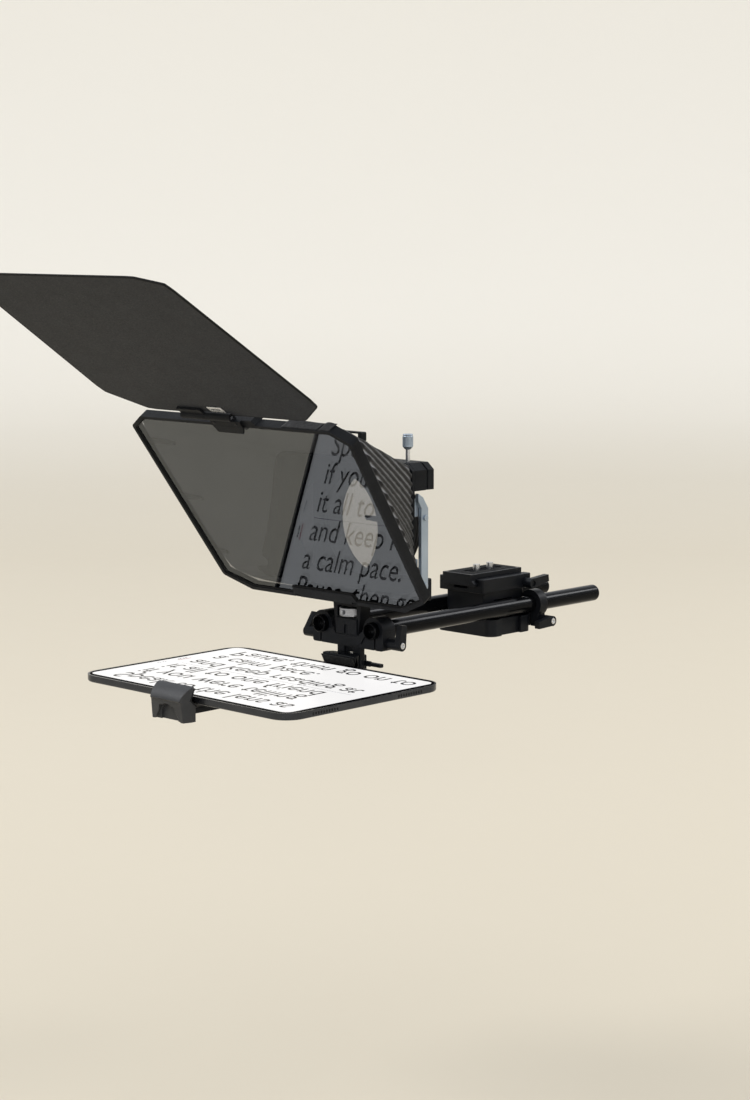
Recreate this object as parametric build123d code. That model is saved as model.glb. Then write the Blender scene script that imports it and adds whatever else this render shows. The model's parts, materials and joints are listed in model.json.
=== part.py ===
from build123d import *
from math import cos, radians, sin
import os

# Teleprompter on two support rods, with its folding hood, shade flag and tablet holder.
# All sizes are in millimetres. +X is right as the speaker sees it, -Y points at the
# speaker, +Z is up. The solids are drawn in the rod frame, whose origin lies midway
# between the front ends of the two rods, and are written in the mount frame, whose
# origin is the mouth of the tripod socket under the base block.

# --- support rods
ROD_R = 7.5
ROD_X = 30.0
ROD_LEN = 300.0
RUN = 0.04                 # radial clearance of a running fit
GAP = 0.3                  # space left between pieces that move past each other

# --- base block under the camera
SOCKET_Y = 178.0
BASE_Z = -24.0
BASE_Y0, BASE_Y1 = 152.0, 207.8
BASE_HALF = 33.0
BASE_SHELF_Z = -9.0
WEB_HALF = 22.2
WEB_TOP = 14.6
SOCKET_R = 4.0             # 3/8-16 thread, minor radius
SOCKET_DEPTH = 12.0
RING_Y0, RING_Y1 = 208.0, 218.0
RING_R = 12.6
RECEIVER_Y0, RECEIVER_Y1 = 148.0, 214.0
RECEIVER_HALF = 26.0
RECEIVER_TOP = 27.0
PLATE_BOTTOM = 21.0
PLATE_TOP = 31.4
PLATE_Y0, PLATE_Y1 = 143.0, 211.0
PLATE_HALF_LOW, PLATE_HALF_TOP = 20.5, 17.0
CAMERA_SCREW_R = 3.175     # 1/4-20 thread
CAMERA_SCREW_Y = (SOCKET_Y - 9, SOCKET_Y + 9)
LOCK_Y, LOCK_Z = 206.0, 19.0

# --- front clamp on the rods
CLAMP_Y0, CLAMP_Y1 = 5.0, 20.0
CLAMP_BOTTOM = -16.5
CLAMP_HALF = 41.5
BOSS_R = 11.3
SCREW_Z = -10.6
TOWER_Y0, TOWER_Y1 = 4.5, 16.5
TOWER_BOTTOM, TOWER_TOP = -6.8, 20.4
TOWER_HALF_LOW, TOWER_HALF_TOP = 13.0, 16.5
WHEEL_R, WHEEL_Z0, WHEEL_Z1 = 10.6, 9.2, 16.9
WHEEL_Y = 10.5
HEIGHT_PLATE_Y0, HEIGHT_PLATE_Y1 = 6.0, 11.5
HEIGHT_PLATE_HALF = 14.0
HEIGHT_PLATE_BOTTOM = -51.0

# --- hood: base plate, glass frame, collar
HOOD_BASE_Z0, HOOD_BASE_Z1 = 20.4, 24.9
GLASS_ANGLE = 55.24        # slope of the glass above the horizontal
GLASS_Y, GLASS_Z = -21.36, 27.3
FRAME_DEPTH = 9.0
PIVOT_S, PIVOT_W = 1.0, -4.5
COLLAR_Y0, COLLAR_Y1 = 20.7, 47.8
COLLAR_HALF = 60.0
COLLAR_TOP = 141.5
COLLAR_BOTTOM = 27.0
COLLAR_GROOVE_Y = 37.4       # groove behind the front part of the collar's top
LENS_Z = 87.0
LENS_R = 43.0

# --- shade flag
FLAG_ANGLE = 33.47
FLAG_Y, FLAG_Z = -133.4, 188.06
FLAG_T = 1.6
HINGE_S, HINGE_W = 194.0, 1.5   # hinge axis, up the glass slope and out of its plane
KNUCKLE_R = 3.4
PIN_R = 1.5

# --- tablet and its holder
TABLET_X, TABLET_Y, TABLET_T = 247.6, 178.5, 5.9
TABLET_BACK_Y = -7.66
TABLET_TOP = -29.95
TABLET_CORNER = 18.0
JAW_HALF = 18.5
JAW_V_Y, JAW_V_Z = -4.0, -32.9

ROD_TO_MOUNT = Vector(0, -SOCKET_Y, -BASE_Z)
X_AXIS, Y_AXIS, Z_AXIS = Vector(1, 0, 0), Vector(0, 1, 0), Vector(0, 0, 1)


def slope_plane(angle, y, z):
    """Plane whose x runs across, whose y climbs forwards and up, and whose z faces the tablet."""
    return Plane(origin=(0, y, z), x_dir=X_AXIS,
                 z_dir=(0, -sin(radians(angle)), -cos(radians(angle))))


GLASS = slope_plane(GLASS_ANGLE, GLASS_Y, GLASS_Z)
FLAG = slope_plane(FLAG_ANGLE, FLAG_Y, FLAG_Z)
FRONT = Plane(origin=(0, 0, 0), x_dir=X_AXIS, z_dir=(0, -1, 0))     # x across, y up
SIDE = Plane(origin=(0, 0, 0), x_dir=Y_AXIS, z_dir=X_AXIS)          # x to the rear, y up


def write(node, *solids):
    """Write one node, moved from the rod frame to the mount frame."""
    shape = solids[0] if len(solids) == 1 else Compound(children=list(solids))
    if len(solids) == 1:
        shape = Part() + shape
    export_step(Pos(ROD_TO_MOUNT) * shape, f"parts/{node}.step")


def block(x0, x1, y0, y1, z0, z1):
    return Pos((x0 + x1) / 2, (y0 + y1) / 2, (z0 + z1) / 2) * Box(x1 - x0, y1 - y0, z1 - z0)


def rod_x(radius, x0, x1, y, z):
    return Pos((x0 + x1) / 2, y, z) * Rot(0, 90, 0) * Cylinder(radius, abs(x1 - x0))


def rod_y(radius, x, y0, y1, z):
    return Pos(x, (y0 + y1) / 2, z) * Rot(90, 0, 0) * Cylinder(radius, abs(y1 - y0))


def rod_z(radius, x, y, z0, z1):
    return Pos(x, y, (z0 + z1) / 2) * Cylinder(radius, abs(z1 - z0))


def slab(plane, outline, low, high, corner=0):
    """Prism on a plane: an outline between two heights along the plane's normal."""
    face = make_face(Polyline(*outline, close=True))
    if corner:
        face = fillet(face.vertices(), corner)
    return extrude(plane.offset(low) * face, amount=high - low, dir=plane.z_dir)


def mirrored(*half):
    """Closed outline, symmetric about x = 0, from its right half, bottom to top."""
    right = [(x, s) for x, s in half]
    return right + [(-x, s) for x, s in reversed(right)]


def upright_edges(solid, axis=Axis.Z):
    return solid.edges().filter_by(axis)


# ---------------------------------------------------------------- base and camera plate

def base_block():
    foot = block(-BASE_HALF, BASE_HALF, BASE_Y0, BASE_Y1, BASE_Z, BASE_SHELF_Z)
    foot = fillet(upright_edges(foot), 8.0)
    web = block(-WEB_HALF, WEB_HALF, BASE_Y0 + 2, BASE_Y1, BASE_SHELF_Z, WEB_TOP)
    web = fillet(upright_edges(web), 2.0)
    waist = block(BASE_HALF - 3, BASE_HALF, BASE_Y0 + 14, BASE_Y0 + 40, BASE_Z - 1, BASE_SHELF_Z + 1)
    window = block(-WEB_HALF - 1, WEB_HALF + 1, BASE_Y0 + 16, BASE_Y0 + 40, -3, 7)
    socket = rod_z(SOCKET_R, 0, SOCKET_Y, BASE_Z, BASE_Z + SOCKET_DEPTH)
    body = foot + web - waist - Pos(-2 * BASE_HALF + 3, 0, 0) * waist - window - socket
    for side in (-1, 1):
        body = body - rod_z(2.1, side * 14, SOCKET_Y, BASE_Z, BASE_Z + 8)
    return body


def rod_clamp(side):
    """Split ring that grips one rod at the rear of the base block."""
    x = side * ROD_X
    ring = rod_y(RING_R, x, RING_Y0, RING_Y1, 0)
    lug = block(x - 9, x + 9, RING_Y0, RING_Y1, -20, -5)
    arm = block(min(side * 8, x), max(side * 8, x), RING_Y0, RING_Y1, -20, -9)
    body = ring + lug + arm - rod_y(ROD_R + RUN, x, RING_Y0 - 1, RING_Y1 + 1, 0)
    slit = block(x - 1, x + 1, RING_Y0 - 1, RING_Y1 + 1, -21, 0)
    bolt = rod_x(2.6, x - 8 * side, x + 10 * side, (RING_Y0 + RING_Y1) / 2, -14)
    return body - slit - bolt


def lever(side, x0, x1, y, z, reach, lift, stud=0):
    """Clamp lever: a hub along X with a tapered arm at its outer end, and a threaded stud inwards."""
    hub = rod_x(4.6, side * x0, side * x1, y, z)
    root, tip = Vector(0, y, z), Vector(0, y + reach, z + lift)
    along = (tip - root).normalized()
    across = Vector(0, -along.Z, along.Y)
    corners = [root + across * 4.4, tip + across * 3.1, tip - across * 3.1, root - across * 4.4]
    low, high = sorted((side * (x1 - 5.5), side * x1))
    arm = slab(SIDE, [(p.Y, p.Z) for p in corners], low, high)
    body = hub + arm
    if stud:
        body = body + rod_x(2.5, side * x0, side * (x0 - stud), y, z)
    recess = rod_x(2.7, side * (x1 - 1.2), side * (x1 + 1), y, z)
    return body - recess


def lever_screw(side, x1, y, z):
    head = rod_x(2.6, side * (x1 - 1.2), side * (x1 + 0.6), y, z)
    return head - rod_x(1.2, side * (x1 - 0.4), side * (x1 + 1), y, z)


def plate_receiver():
    body = block(-RECEIVER_HALF, RECEIVER_HALF, RECEIVER_Y0, RECEIVER_Y1, WEB_TOP, RECEIVER_TOP)
    body = fillet(upright_edges(body), 2.0)
    low, top = PLATE_HALF_LOW + 0.1, PLATE_HALF_TOP + 0.1
    channel = slab(FRONT, mirrored((low, PLATE_BOTTOM - 0.1), (low, PLATE_BOTTOM + 2.2),
                                   (top, PLATE_BOTTOM + 5), (top, RECEIVER_TOP + 1)),
                   -RECEIVER_Y1 - 1, -RECEIVER_Y0 + 1)
    relief = block(-8, 8, RECEIVER_Y0 - 1, RECEIVER_Y0 + 6, PLATE_BOTTOM - 3, PLATE_BOTTOM)
    bore = rod_x(2.55, 21, 28, LOCK_Y, LOCK_Z)
    return body - channel - relief - bore


def camera_plate():
    outline = mirrored((PLATE_HALF_LOW, PLATE_BOTTOM), (PLATE_HALF_LOW, PLATE_BOTTOM + 2),
                       (PLATE_HALF_TOP, PLATE_BOTTOM + 4.9), (PLATE_HALF_TOP, PLATE_TOP))
    body = slab(FRONT, outline, -PLATE_Y1, -PLATE_Y0)
    slot = block(-3.4, 3.4, SOCKET_Y - 20, SOCKET_Y + 20, PLATE_BOTTOM - 1, PLATE_TOP + 1)
    slot = fillet(upright_edges(slot), 3.39)
    counter = block(-7, 7, SOCKET_Y - 24, SOCKET_Y + 24, PLATE_BOTTOM - 1, PLATE_BOTTOM + 5)
    tread = block(-14.1, 14.1, PLATE_Y0 + 3.9, PLATE_Y1 - 3.9, PLATE_TOP - 0.8, PLATE_TOP + 1)
    return body - slot - counter - tread


def camera_plate_pad():
    pad = block(-14, 14, PLATE_Y0 + 4, PLATE_Y1 - 4, PLATE_TOP - 0.8, PLATE_TOP + 0.4)
    slot = block(-6, 6, SOCKET_Y - 23, SOCKET_Y + 23, PLATE_TOP - 2, PLATE_TOP + 2)
    return pad - slot


def camera_screw(y):
    head = rod_z(6.3, 0, y, PLATE_BOTTOM + 0.6, PLATE_BOTTOM + 4.9)
    neck = rod_z(2.6, 0, y, PLATE_BOTTOM + 4.9, PLATE_TOP + 0.5)
    thread = rod_z(CAMERA_SCREW_R, 0, y, PLATE_TOP + 0.5, PLATE_TOP + 5.4)
    groove = block(-7, 7, y - 0.7, y + 0.7, PLATE_BOTTOM, PLATE_BOTTOM + 2)
    return head + neck + thread - groove


def build_base():
    write("base_block", base_block())
    write("plate_receiver", plate_receiver())
    write("receiver_lock_lever", lever(1, RECEIVER_HALF + 0.2, 36, LOCK_Y, LOCK_Z, 21, 3, stud=4.8))
    write("camera_plate", camera_plate())
    write("camera_plate_pad", camera_plate_pad())
    for name, y in zip(("front", "rear"), CAMERA_SCREW_Y):
        write(f"camera_screw_{name}", camera_screw(y))
    ring_y = (RING_Y0 + RING_Y1) / 2
    for name, side in (("left", -1), ("right", 1)):
        write(f"rod_clamp_{name}", rod_clamp(side))
        write(f"base_lever_{name}", lever(side, ROD_X + 9.2, 53, ring_y, -14, -19, -2, stud=8))
        write(f"base_lever_screw_{name}", lever_screw(side, 53, ring_y, -14))


# ---------------------------------------------------------------- rods and front clamp

def support_rod(side):
    """Anodised tube, counterbored and threaded at the front, rounded at the rear."""
    tube = rod_y(ROD_R, side * ROD_X, 0, ROD_LEN, 0)
    tube = fillet(tube.edges().sort_by(Axis.Y)[-1], 3.2)
    tube = chamfer(tube.edges().sort_by(Axis.Y)[0], 0.6)
    return tube - rod_y(6.1, side * ROD_X, -1, 6, 0) - rod_y(5.1, side * ROD_X, 5, 25, 0)


def front_clamp_body():
    """Cross bar with a boss round each rod; slits under the rods let the levers squeeze them."""
    bar = block(-CLAMP_HALF, CLAMP_HALF, CLAMP_Y0, CLAMP_Y1, CLAMP_BOTTOM, 0)
    notch = slab(FRONT, mirrored((13.2, TOWER_BOTTOM), (19.5, 1)), -CLAMP_Y1 - 1, -CLAMP_Y0 + 1)
    body = bar - notch
    body = fillet(body.edges().filter_by(Axis.Y).group_by(Axis.Z)[0], 2.0)
    mid_y = (CLAMP_Y0 + CLAMP_Y1) / 2
    for side in (-1, 1):
        x = side * ROD_X
        body = body + rod_y(BOSS_R, x, CLAMP_Y0, CLAMP_Y1, 0)
        slit = block(x + side * 2 - 0.8, x + side * 2 + 0.8, CLAMP_Y0 - 1, CLAMP_Y1 + 1, -18, 0)
        body = body - rod_y(ROD_R + RUN, x, CLAMP_Y0 - 1, CLAMP_Y1 + 1, 0) - slit
        body = body - rod_x(2.6, side * 22, side * (CLAMP_HALF + 1), mid_y, SCREW_Z)
    badge = slab(FRONT, mirrored((10, -15), (16, -13), (22, -4), (20.5, -3)), -CLAMP_Y0, -CLAMP_Y0 + 1)
    body = body + (badge - notch)
    pocket = block(-HEIGHT_PLATE_HALF - 0.05, HEIGHT_PLATE_HALF + 0.05,
                   HEIGHT_PLATE_Y0 - 0.05, HEIGHT_PLATE_Y1 + 0.05, CLAMP_BOTTOM - 1, -9.5)
    return body - pocket


def clamp_tower():
    """Tapered bracket that carries the hood, with a window for the thumbwheel."""
    outline = mirrored((TOWER_HALF_LOW, TOWER_BOTTOM), (TOWER_HALF_TOP, TOWER_TOP))
    body = slab(FRONT, outline, -TOWER_Y1, -TOWER_Y0)
    window = block(-11.5, 11.5, TOWER_Y0 - 1, TOWER_Y1 + 1, WHEEL_Z0 - 0.8, WHEEL_Z1 + 1.2)
    window = fillet(upright_edges(window, Axis.Y), 1.2)
    return body - window - rod_z(CAMERA_SCREW_R + RUN, 0, WHEEL_Y, WHEEL_Z1, TOWER_TOP + 1)


def tower_front_plate():
    plate = block(-12.2, 12.2, TOWER_Y0 - 1.3, TOWER_Y0, TOWER_BOTTOM + 1, WHEEL_Z0 - 1.6)
    arch = block(-2.6, 2.6, TOWER_Y0 - 2, TOWER_Y0 + 1, TOWER_BOTTOM, -0.4)
    return plate - arch - rod_y(2.6, 0, TOWER_Y0 - 2, TOWER_Y0 + 1, -0.4)


def hood_wheel():
    """Thumbwheel with a tommy hole, on the screw that pulls the hood down on the tower."""
    wheel = rod_z(WHEEL_R, 0, WHEEL_Y, WHEEL_Z0, WHEEL_Z1)
    wheel = chamfer(wheel.edges(), 0.7)
    middle = (WHEEL_Z0 + WHEEL_Z1) / 2
    tommy = rod_y(1.9, 0, WHEEL_Y - WHEEL_R - 1, WHEEL_Y - 4, middle)
    screw = rod_z(CAMERA_SCREW_R, 0, WHEEL_Y, WHEEL_Z1, HOOD_BASE_Z1 - 0.6)
    return wheel - tommy + screw


def height_plate():
    """Vertical rail that the tablet holder climbs, grooved and slotted down its middle."""
    body = block(-HEIGHT_PLATE_HALF, HEIGHT_PLATE_HALF, HEIGHT_PLATE_Y0, HEIGHT_PLATE_Y1,
                 HEIGHT_PLATE_BOTTOM, -9.6)
    body = fillet(body.edges().filter_by(Axis.Y).group_by(Axis.Z)[0], 5.0)
    body = chamfer(body.edges().filter_by(Axis.Z).group_by(Axis.Y)[0], 1.0)
    groove = block(-5, 5, HEIGHT_PLATE_Y0 - 1, HEIGHT_PLATE_Y0 + 2.4, HEIGHT_PLATE_BOTTOM + 4, -15)
    slot = block(-3.1, 3.1, HEIGHT_PLATE_Y0, HEIGHT_PLATE_Y1 + 1, HEIGHT_PLATE_BOTTOM + 4, -21.8)
    return body - groove - slot


def build_front_clamp():
    write("front_clamp_body", front_clamp_body())
    write("clamp_tower", clamp_tower())
    write("tower_front_plate", tower_front_plate())
    write("hood_wheel", hood_wheel())
    write("height_plate", height_plate())
    mid_y = (CLAMP_Y0 + CLAMP_Y1) / 2
    for name, side, reach, lift in (("left", -1, 8.5, 14.7), ("right", 1, 2.5, 17)):
        write(f"support_rod_{name}", support_rod(side))
        write(f"front_lever_{name}", lever(side, CLAMP_HALF + 0.3, 57, mid_y, SCREW_Z, reach, lift, stud=10))
        write(f"front_lever_screw_{name}", lever_screw(side, 57, mid_y, SCREW_Z))


# ---------------------------------------------------------------- hood

FRAME_OUTLINE = mirrored((90.5, -2.5), (119.2, 11.0), (128.5, 175), (111, 186))
FRAME_WINDOW = mirrored((35.5, 8), (37, 1.4), (87.6, 1.4), (115.6, 13.2), (125.3, 173), (109.3, 183.4))
GLASS_OUTLINE = mirrored((37.4, 6.4), (38.9, 0.2), (88.9, 0.2), (117.3, 12.4), (126.8, 174.4), (110.2, 184.6))
CLIP_HEIGHTS = (35.0, 95.5, 156.0)


def slope_point(s, w):
    """Point in the middle of the hood, s up the glass slope and w out of its front face."""
    return GLASS.from_local_coords((0, s, w))


def glass_frame():
    """Rim that holds the glass in a rebate and turns on the hinge pin along its bottom edge."""
    body = slab(GLASS, FRAME_OUTLINE, -FRAME_DEPTH, 0, corner=4)
    body = body - slab(GLASS, FRAME_WINDOW, -FRAME_DEPTH - 1, 1, corner=1)
    body = body - slab(GLASS, GLASS_OUTLINE, -FRAME_DEPTH - 1, -1.65, corner=1)
    pivot = slope_point(PIVOT_S, PIVOT_W)
    body = body - rod_x(PIN_R + RUN, -40, 40, pivot.Y, pivot.Z)
    for x in EAR_X:
        body = body - slab(GLASS, [(x - 2.8, -4), (x + 2.8, -4), (x + 2.8, 4.8), (x - 2.8, 4.8)], -10, -1.2)
        body = body - slab(GLASS, [(x - 2.8, -4), (x + 2.8, -4), (x + 2.8, 0), (x - 2.8, 0)], -2, 1)
    return body


def glass_clips():
    """Tapered tabs behind the glass, three on each side of the rim."""
    clips = []
    for side in (-1, 1):
        for s in CLIP_HEIGHTS:
            edge = 117.0 + (126.8 - 117.3) * (s - 12.4) / (174.4 - 12.4)
            length = 11 + s / 6.6
            shape = [(side * edge, s - 3.5), (side * edge, s + 3.5),
                     (side * (edge - length), s + 2), (side * (edge - length), s - 2)]
            clips.append(slab(GLASS, shape, -5.2, -3.75))
    return clips


EAR_X = (-33.5, 33.5)
HOOD_BASE_Y0 = 1.5
HINGE_ARM_Y1, HINGE_ARM_TOP = 7.5, 28.3


def hood_base():
    """Plate under the hood: screwed to the tower, footing for the collar, with two hinge arms."""
    body = slab(Plane.XY, mirrored((37, HOOD_BASE_Y0), (44, 22), (44, COLLAR_Y1)), HOOD_BASE_Z0, HOOD_BASE_Z1)
    pivot = slope_point(PIVOT_S, PIVOT_W)
    for x in EAR_X:
        ear = rod_x(3.2, x - 2.5, x + 2.5, pivot.Y, pivot.Z)
        ear = ear + block(x - 2.5, x + 2.5, pivot.Y - 1.5, HINGE_ARM_Y1, HOOD_BASE_Z1 + 0.4, HINGE_ARM_TOP)
        ear = ear + block(x - 2.5, x + 2.5, HOOD_BASE_Y0, HINGE_ARM_Y1, HOOD_BASE_Z1 - 1, HINGE_ARM_TOP)
        body = body + (ear - rod_x(PIN_R + RUN, x - 3, x + 3, pivot.Y, pivot.Z))
    return body - rod_z(CAMERA_SCREW_R + RUN, 0, WHEEL_Y, HOOD_BASE_Z0 - 1, HOOD_BASE_Z1 + 1)


def frame_hinge_pin():
    pivot = slope_point(PIVOT_S, PIVOT_W)
    return rod_x(PIN_R, -37.1, 37.1, pivot.Y, pivot.Z)


COLLAR_OUTLINE = mirrored((COLLAR_HALF, COLLAR_BOTTOM), (COLLAR_HALF, COLLAR_TOP - 6),
                          (COLLAR_HALF - 7, COLLAR_TOP))


def bellows():
    """Closed sleeve of pleated cloth from the rim of the glass to the collar."""
    skins = []
    for inset in (0, 2.5):
        front = mirrored((90 - inset, 1 + inset), (119 - inset, 12.5 + inset),
                         (128.3 - inset, 174.8 - inset), (111 - inset, 185.8 - inset))
        rear = mirrored((COLLAR_HALF - 10 - inset, COLLAR_BOTTOM + 0.6 + inset),
                        (COLLAR_HALF - 0.5 - inset, COLLAR_BOTTOM + 8 + inset),
                        (COLLAR_HALF - 0.5 - inset, COLLAR_TOP - 6.5 - inset),
                        (COLLAR_HALF - 7.5 - inset, COLLAR_TOP - 0.5 - inset))
        reach = 0.5 if inset else 0
        sections = [GLASS.offset(-FRAME_DEPTH - GAP + reach) * make_face(Polyline(*front, close=True)),
                    FRONT.offset(-COLLAR_Y0 + GAP - reach) * make_face(Polyline(*rear, close=True))]
        skins.append(loft(sections, ruled=True))
    return skins[0] - skins[1]


def collar_front_ring():
    ring = slab(FRONT, COLLAR_OUTLINE, -COLLAR_Y0 - 3.3, -COLLAR_Y0)
    return ring - rod_y(LENS_R, 0, COLLAR_Y0 - 1, COLLAR_Y0 + 5, LENS_Z)


def collar_top(y0, y1, inset=0.0):
    half = COLLAR_HALF - inset
    outline = mirrored((half, COLLAR_TOP - 23), (half, COLLAR_TOP - 6 - inset / 2),
                       (half - 7 + inset / 2, COLLAR_TOP - inset))
    body = slab(FRONT, outline, -y1, -y0)
    return body - rod_y(LENS_R + 4, 0, y0 - 1, y1 + 1, LENS_Z)


def collar_foot():
    body = block(-COLLAR_HALF, COLLAR_HALF, COLLAR_Y0 + 7.3, 45.5, HOOD_BASE_Z1, 43.5)
    body = fillet(upright_edges(body), 1.5)
    return body - rod_y(LENS_R + 4, 0, COLLAR_Y0, 50, LENS_Z)


BRACKET_T = 4.0
BRACKET_SCREW_Z = 102.0


def side_bracket(side):
    """Bent bar from the collar foot up and forwards to the front ring."""
    outline = [(28, 36), (36.4, 36), (36.4, 104), (30, 113.5), (24.2, 117), (24.2, 110), (28, 104)]
    x0, x1 = sorted((side * (COLLAR_HALF + 0.05), side * (COLLAR_HALF + BRACKET_T)))
    return slab(SIDE, outline, x0, x1)


def bracket_plates():
    """Bearing plates between the brackets and the ring, a low and a high one on each side."""
    y0 = COLLAR_Y0 + 3.4
    return [block(x, x + 5, y0, y0 + 3.8, z0, z1) for x in (-COLLAR_HALF, COLLAR_HALF - 5)
            for z0, z1 in ((44, 61.5), (97, 112))]


def bracket_screws():
    heads = []
    for side in (-1, 1):
        x0, x1 = side * (COLLAR_HALF + BRACKET_T + 0.02), side * (COLLAR_HALF + BRACKET_T + 1.4)
        heads += [rod_x(2.4, x0, x1, 32.5, z) for z in (39.0, 96.0)]
    return heads


def lens_gasket():
    """Pleated rubber sleeve that closes the gap round the lens."""
    y0 = COLLAR_Y0 + 3.4
    flange = rod_y(LENS_R + 9, 0, y0, y0 + 3, LENS_Z) + rod_y(LENS_R + 5.5, 0, y0 + 3, y0 + 6, LENS_Z)
    window = block(-COLLAR_HALF + 5.1, COLLAR_HALF - 5.1, y0, y0 + 6, 44, COLLAR_TOP - 23.2)
    body = (flange & window) + rod_y(LENS_R + 3.5, 0, y0, y0 + 16, LENS_Z)
    return body - rod_y(LENS_R, 0, y0 - 1, y0 + 20, LENS_Z)


def accessory_loop():
    loop = block(-43.5, -8.7, 31, 37, 154.8, 163)
    loop = fillet(upright_edges(loop, Axis.Y), 1.6)
    hole = block(-38, -13, 30, 38, 156.5, 161.5)
    post = block(-22, -7.4, 31, 37, COLLAR_TOP, 154.8)
    return loop - hole + post


def build_hood():
    write("glass_frame", glass_frame())
    write("beam_splitter_glass", slab(GLASS, GLASS_OUTLINE, -3.7, -1.7, corner=0.9))
    write("glass_clips", *glass_clips())
    write("hood_base", hood_base())
    write("frame_hinge_pin", frame_hinge_pin())
    write("bellows", bellows())
    write("collar_front_ring", collar_front_ring())
    knob_hole = rod_z(1.9 + RUN, 42, 34.5, 128, COLLAR_TOP + 1)
    neck = collar_top(COLLAR_GROOVE_Y, 40.2, 1.2)
    write("collar_top_front", collar_top(COLLAR_Y0 + 3.4, COLLAR_GROOVE_Y) + neck - knob_hole)
    write("collar_top_rear", collar_top(40.4, COLLAR_Y1, 0.4))
    write("collar_foot", collar_foot())
    for name, side in (("left", -1), ("right", 1)):
        write(f"side_bracket_{name}", side_bracket(side))
    write("bracket_plates", *bracket_plates())
    write("bracket_screws", *bracket_screws())
    write("lens_gasket", lens_gasket())
    write("accessory_loop", accessory_loop())
    write("thumbscrew_stem", rod_z(1.9, 42, 34.5, 129, 152))
    knob = rod_z(4.5, 42, 34.5, 151.6, 164.6) - rod_z(1.95, 42, 34.5, 151, 152.1)
    write("thumbscrew_knob", chamfer(knob.edges().group_by(Axis.Z)[-1], 1.2))


# ---------------------------------------------------------------- shade flag

KNUCKLE_LEFT = (-50.0, -21.9)
KNUCKLE_RIGHT = (-21.6, 8.0)


def flag_panel():
    outline = mirrored((91, 0), (125.3, 25), (115.8, 193.8), (87.5, 202.9))
    panel = slab(FLAG, outline, -FLAG_T, 0, corner=4)
    relief = [(KNUCKLE_LEFT[0] - 0.5, -1), (KNUCKLE_RIGHT[1] + 0.8, -1),
              (KNUCKLE_RIGHT[1] + 0.8, 2.6), (KNUCKLE_LEFT[0] - 0.5, 2.6)]
    return panel - slab(FLAG, relief, -FLAG_T - 1, 1)


def flag_hinge_leaf():
    """Leaf under the flag's rear edge, with its knuckle."""
    axis = slope_point(HINGE_S, HINGE_W)
    x0, x1 = KNUCKLE_LEFT
    leaf = slab(FLAG, [(x0, 1.8), (x1, 1.8), (x1, 7.6), (x0, 7.6)], 0.02, 2.2)
    body = leaf + rod_x(KNUCKLE_R, x0, x1, axis.Y, axis.Z)
    body = body - slab(FLAG, [(x0 - 1, 2.55), (x1 + 1, 2.55), (x1 + 1, 20), (x0 - 1, 20)], -4, 0.02)
    return body - rod_x(PIN_R + RUN, x0 - 1, x1 + 1, axis.Y, axis.Z)


def flag_latch_plate():
    plate = slab(FLAG, [(-11, 4), (6, 4), (6, 12), (-11, 12)], 0.02, 0.8, corner=1)
    return plate - slab(FLAG, [(-8, 7), (3, 7), (3, 9), (-8, 9)], -1, 2)


def flag_clip_block():
    """Clip over the top rim of the glass frame, with the fixed knuckle of the flag hinge."""
    saddle = [(-20, 186.15), (29, 186.15), (26, 190.5), (-20, 190.5)]
    ledge = [(-20, 186.15), (15, 186.15), (15, 190.5), (-20, 190.5)]
    cheek = [(-20, 185.3), (15, 185.3), (15, 190.5), (-20, 190.5)]
    body = slab(GLASS, saddle, -11, -0.05) + slab(GLASS, ledge, -0.05, 0.1) + slab(GLASS, cheek, 0.1, 2.2)
    axis = slope_point(HINGE_S, HINGE_W)
    x0, x1 = KNUCKLE_RIGHT
    web = slab(GLASS, [(x0 + 2, 190), (x1, 190), (x1, HINGE_S), (x0 + 2, HINGE_S)], -1.9, 1.3)
    body = body + web + rod_x(KNUCKLE_R, x0, x1, axis.Y, axis.Z)
    return body - rod_x(PIN_R, x0 - 1, x1 + 1, axis.Y, axis.Z)


def flag_clip_lip():
    return slab(GLASS, [(-17, 178), (12, 178), (16, 185.2), (-21, 185.2)], 0.1, 2.0)


def flag_clip_screws():
    return [GLASS * Pos(x, 187.8, 2.38) * Cylinder(1.3, 0.34) for x in (-16.3, 9.5)]


def build_flag():
    axis = slope_point(HINGE_S, HINGE_W)
    write("flag_panel", flag_panel())
    write("flag_hinge_leaf", flag_hinge_leaf())
    write("flag_latch_plate", flag_latch_plate())
    write("flag_clip_block", flag_clip_block())
    write("flag_clip_lip", flag_clip_lip())
    write("flag_clip_screws", *flag_clip_screws())
    write("flag_hinge_pin", rod_x(PIN_R, KNUCKLE_LEFT[0] + 0.4, KNUCKLE_RIGHT[1] - 0.4, axis.Y, axis.Z))


# ---------------------------------------------------------------- tablet and its holder

def tablet_body():
    half = TABLET_X / 2
    front = TABLET_BACK_Y - TABLET_Y
    body = block(-half, half, front, TABLET_BACK_Y, TABLET_TOP - TABLET_T, TABLET_TOP)
    body = fillet(upright_edges(body), TABLET_CORNER)
    body = fillet(body.edges().group_by(Axis.Z)[0], 1.6)
    seat = block(-half + 1.6, half - 1.6, front + 1.6, TABLET_BACK_Y - 1.6, TABLET_TOP - 1.4, TABLET_TOP + 1)
    body = body - fillet(upright_edges(seat), TABLET_CORNER - 1.6)
    middle = TABLET_TOP - TABLET_T / 2
    for side in (-1, 1):
        for row in (-1, 1):
            for step in range(10):
                y = TABLET_BACK_Y - TABLET_Y / 2 + row * (34.5 + 2.9 * step)
                body = body - rod_x(0.8, side * (half - 1.2), side * (half + 1), y, middle)
    return body


def tablet_glass():
    half = TABLET_X / 2 - 1.65
    front = TABLET_BACK_Y - TABLET_Y + 1.65
    glass_sheet = block(-half, half, front, TABLET_BACK_Y - 1.65, TABLET_TOP - 1.4, TABLET_TOP)
    return fillet(upright_edges(glass_sheet), TABLET_CORNER - 1.65)


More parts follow.
